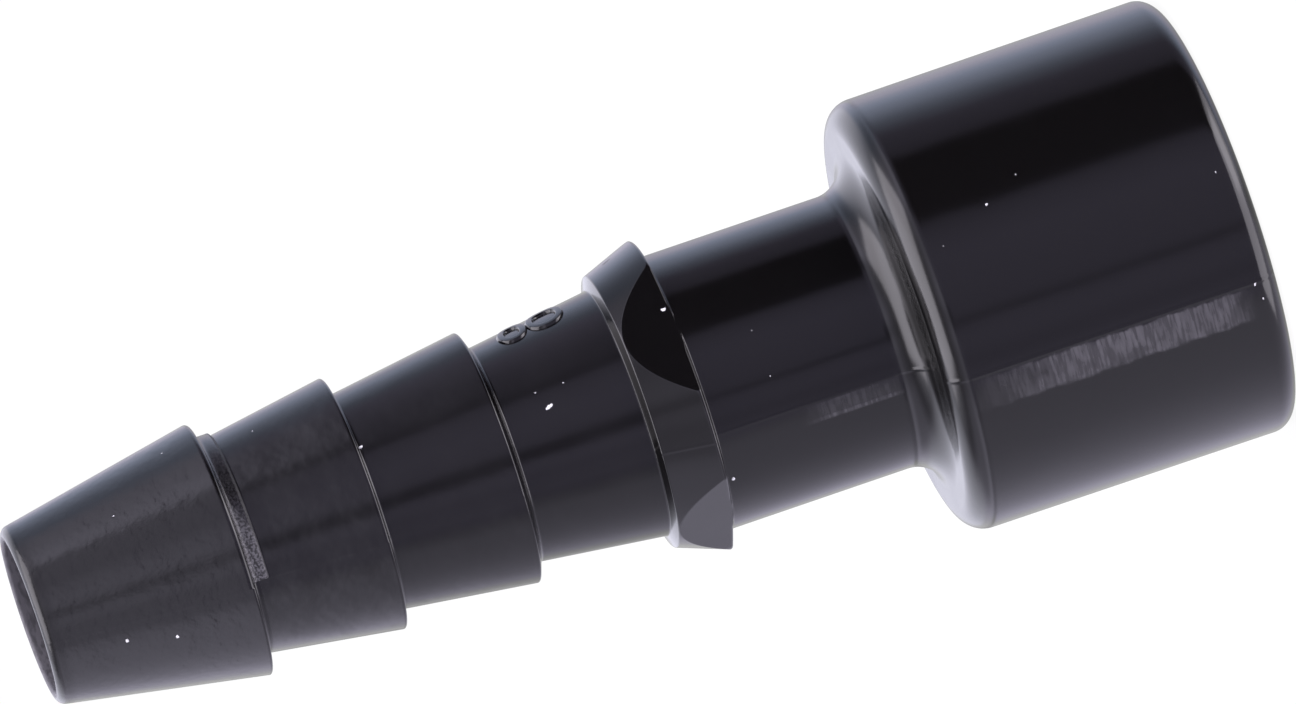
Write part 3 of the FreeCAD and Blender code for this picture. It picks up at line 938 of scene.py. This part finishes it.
# %% The ring that the socket and the neck show
PLAIN = (1.0, 1.0, 1.0)
SKY = (0.86, 0.96, 1.26)
neck_ring = tent_ring([
    (-180, 0.50, PLAIN), (-162, 0.90, PLAIN), (-150, 1.10, PALE), (-140, 1.08, PALE), (-120, 1.00, PALE),
    (-104, 0.89, PALE), (-88, 0.81, PALE), (-62, 0.80, PALE), (-54, 0.80, PALE), (-48, 0.68, PALE),
    (-42, 0.60, COOL), (-37, 0.46, COOL), (-32, 0.41, COOL), (-24, 0.49, COOL), (-16, 0.48, COOL),
    (-13.5, 0.43, COOL), (-11, 0.24, COOL), (-9.5, 0.28, COOL), (-7.5, 0.43, COOL), (4, 0.46, COOL),
    (24, 0.50, COOL), (34, 0.44, COOL), (41, 0.34, COOL), (46, 0.03, COOL), (84, 0.01, COOL),
    (90, 0.23, COOL), (105, 0.28, COOL), (116, 0.62, SKY), (126, 1.00, SKY), (140, 1.13, SKY),
    (150, 1.12, PALE), (172, 0.55, PLAIN),
])

# %% The ring that the cones between the barbs show
barb_ring = tent_ring([
    (-180, 0.52, PLAIN), (-168, 0.62, PLAIN), (-150, 0.72, PLAIN), (-140, 0.81, PALE), (-104, 0.76, PALE),
    (-68, 0.69, PALE), (-60, 0.50, PALE), (-52, 0.41, COOL), (-42, 0.53, COOL), (-32, 0.45, COOL),
    (-20, 0.55, COOL), (-15, 0.45, COOL), (-11, 0.19, COOL), (-6, 0.17, COOL), (-2, 0.27, COOL),
    (3, 0.47, COOL), (22, 0.54, COOL), (36, 0.50, COOL), (45, 0.43, COOL), (51, 0.16, COOL),
    (60, 0.23, COOL), (72, 0.27, COOL), (86, 0.36, COOL), (106, 0.48, COOL), (114, 0.49, SKY),
    (124, 0.76, SKY), (138, 1.08, SKY), (150, 0.97, PALE), (164, 0.91, PLAIN), (180, 0.69, PLAIN),
])

# %% The ring that the tail's long cone shows
tail_ring = tent_ring([
    (-180, 0.73, PLAIN), (-160, 0.96, PLAIN), (-140, 1.41, PALE), (-104, 1.54, PALE), (-68, 1.61, PALE),
    (-57, 1.45, PALE), (-50, 1.07, PALE), (-36, 1.04, PALE), (-28, 0.98, PALE), (-20, 1.19, PALE),
    (-13, 1.19, PALE), (-9, 0.80, PALE), (-5, 0.79, PALE), (0, 1.19, PALE), (6, 1.31, PALE),
    (20, 1.12, PALE), (30, 0.93, PALE), (52, 0.98, PALE), (56.5, 1.05, PALE), (59.5, 1.71, PALE),
    (66, 1.81, PALE), (80, 1.38, PALE), (92, 1.14, PALE), (106, 0.78, SKY), (124, 0.95, SKY),
    (140, 1.14, SKY), (160, 1.04, PALE), (176, 0.75, PLAIN),
])

# %% The rings one behind the other
# Their edges run like the ribs of an umbrella that meet behind the part, so a cone looks at one ring all
# round.
parts = add(tent, "ShaderNodeSeparateXYZ", {"Vector": direction}).outputs
flat_length = maths(tent, "SQRT", maths(tent, "SUBTRACT", 1.0, maths(tent, "POWER", parts[2], 2.0)))
facing = {0: direction, 1: tuple(towards_camera)}
forward = add(tent, "ShaderNodeVectorMath", facing, operation="DOT_PRODUCT").outputs["Value"]
forward = maths(tent, "DIVIDE", forward, maths(tent, "MAXIMUM", flat_length, 0.01))
rib = maths(tent, "SQRT", maths(tent, "MAXIMUM", maths(tent, "MULTIPLY_ADD", forward, 2.0, 2.0), 0.12))
lean = maths(tent, "DIVIDE", maths(tent, "ADD", parts[2], math.sin(math.radians(CAMERA_TILT))), rib)
sine = {degrees: math.sin(math.radians(degrees)) for degrees in (30, 47, 62)}
to_barbs = faded(tent, lean, 0.04, 0.09)
to_tail = faded(tent, lean, 0.168, 0.181)

# Past the collar's slope the tent is dim in front, and behind and above the tip it is white.
past_collar = faded(tent, forward, -0.9, -0.4, 1.15, 0.6)
beyond = add(tent, "ShaderNodeMix", {0: faded(tent, lean, 0.235, 0.32), 2: 1.0, 3: past_collar}).outputs[0]
beyond = maths(tent, "MULTIPLY", beyond, faded(tent, parts[2], sine[30], sine[47], 1.0, 0.4))
behind = maths(tent, "MULTIPLY", faded(tent, forward, -0.25, -0.9), faded(tent, lean, 0.42, 0.62))
above_tip = maths(tent, "MULTIPLY", faded(tent, parts[2], sine[47], sine[62]), 0.45)
behind = maths(tent, "MAXIMUM", behind, above_tip)
BEHIND_WHITE = (1.6, 1.6, 1.85, 1.0)
lower = add(tent, "ShaderNodeMix", {0: to_barbs, 6: neck_ring, 7: barb_ring}, data_type="RGBA").outputs[2]
higher = add(tent, "ShaderNodeMix", {0: to_tail, 6: lower, 7: tail_ring}, data_type="RGBA").outputs[2]
room = add(tent, "ShaderNodeVectorMath", {0: higher, "Scale": beyond}, operation="SCALE").outputs[0]
room = add(tent, "ShaderNodeMix", {0: behind, 6: room, 7: BEHIND_WHITE}, data_type="RGBA").outputs[2]
camera_sees = add(tent, "ShaderNodeLightPath").outputs["Is Camera Ray"]
white_for_camera = {0: camera_sees, 6: room, 7: (1.0, 1.0, 1.0, 1.0)}
shown = add(tent, "ShaderNodeMix", white_for_camera, data_type="RGBA").outputs[2]
air = add(tent, "ShaderNodeBackground", {"Color": shown, "Strength": 1.0}).outputs[0]
add(tent, "ShaderNodeOutputWorld", {"Surface": air})
print("the tent has", len(tent.nodes), "nodes")

# %% [markdown]
# ## The softboxes
#
# Lamps with cloth fronts stand beyond the ends of the part, a big one over the hose end, another past the
# mouth and a small one above that. They draw the bright lines on every edge and hollow that runs round the
# part.

# %% The softboxes
SOFTBOX_DISTANCE = 0.4
SOFTBOX_COLOUR = "fbf6ff"


def softbox(name, bearing_degrees, lift_degrees, size, brightness):
    """A rectangular lamp that faces the part. Its size is across the photograph's up and along the part."""
    bearing_angle, lift_angle = math.radians(bearing_degrees), math.radians(lift_degrees)
    ring = towards_camera * math.cos(bearing_angle) + towards_top * math.sin(bearing_angle)
    out_to_lamp = ring * math.cos(lift_angle) - towards_mouth * math.sin(lift_angle)
    lamp = bpy.data.lights.new(name, "AREA")
    lamp.shape = "RECTANGLE"
    lamp.size, lamp.size_y = size
    lamp.energy = brightness * math.pi * size[0] * size[1]
    lamp.color = screen_colour(SOFTBOX_COLOUR)[:3]
    placed = bpy.data.objects.new(name, lamp)
    side = (towards_top - out_to_lamp * towards_top.dot(out_to_lamp)).normalized()
    across = out_to_lamp.cross(side)
    placed.matrix_world = placed_by(side, across, out_to_lamp, middle + out_to_lamp * SOFTBOX_DISTANCE)
    placed.visible_camera = False
    bpy.context.scene.collection.objects.link(placed)
    print(name, "shines from", tuple(round(value, 2) for value in out_to_lamp))


softbox("tail_softbox", 55.0, 70.5, (0.69, 0.42), 3.6)
softbox("mouth_softbox", -8.0, -61.0, (0.62, 0.32), 3.0)
softbox("small_softbox", 56.0, -62.0, (0.26, 0.30), 2.2)

# %% The view settings
bpy.context.scene.view_settings.view_transform = "Standard"

# %% [markdown]
# ## The end
#
# The last line brings the scene up to date.

# %% Bringing the scene up to date
bpy.context.view_layer.update()
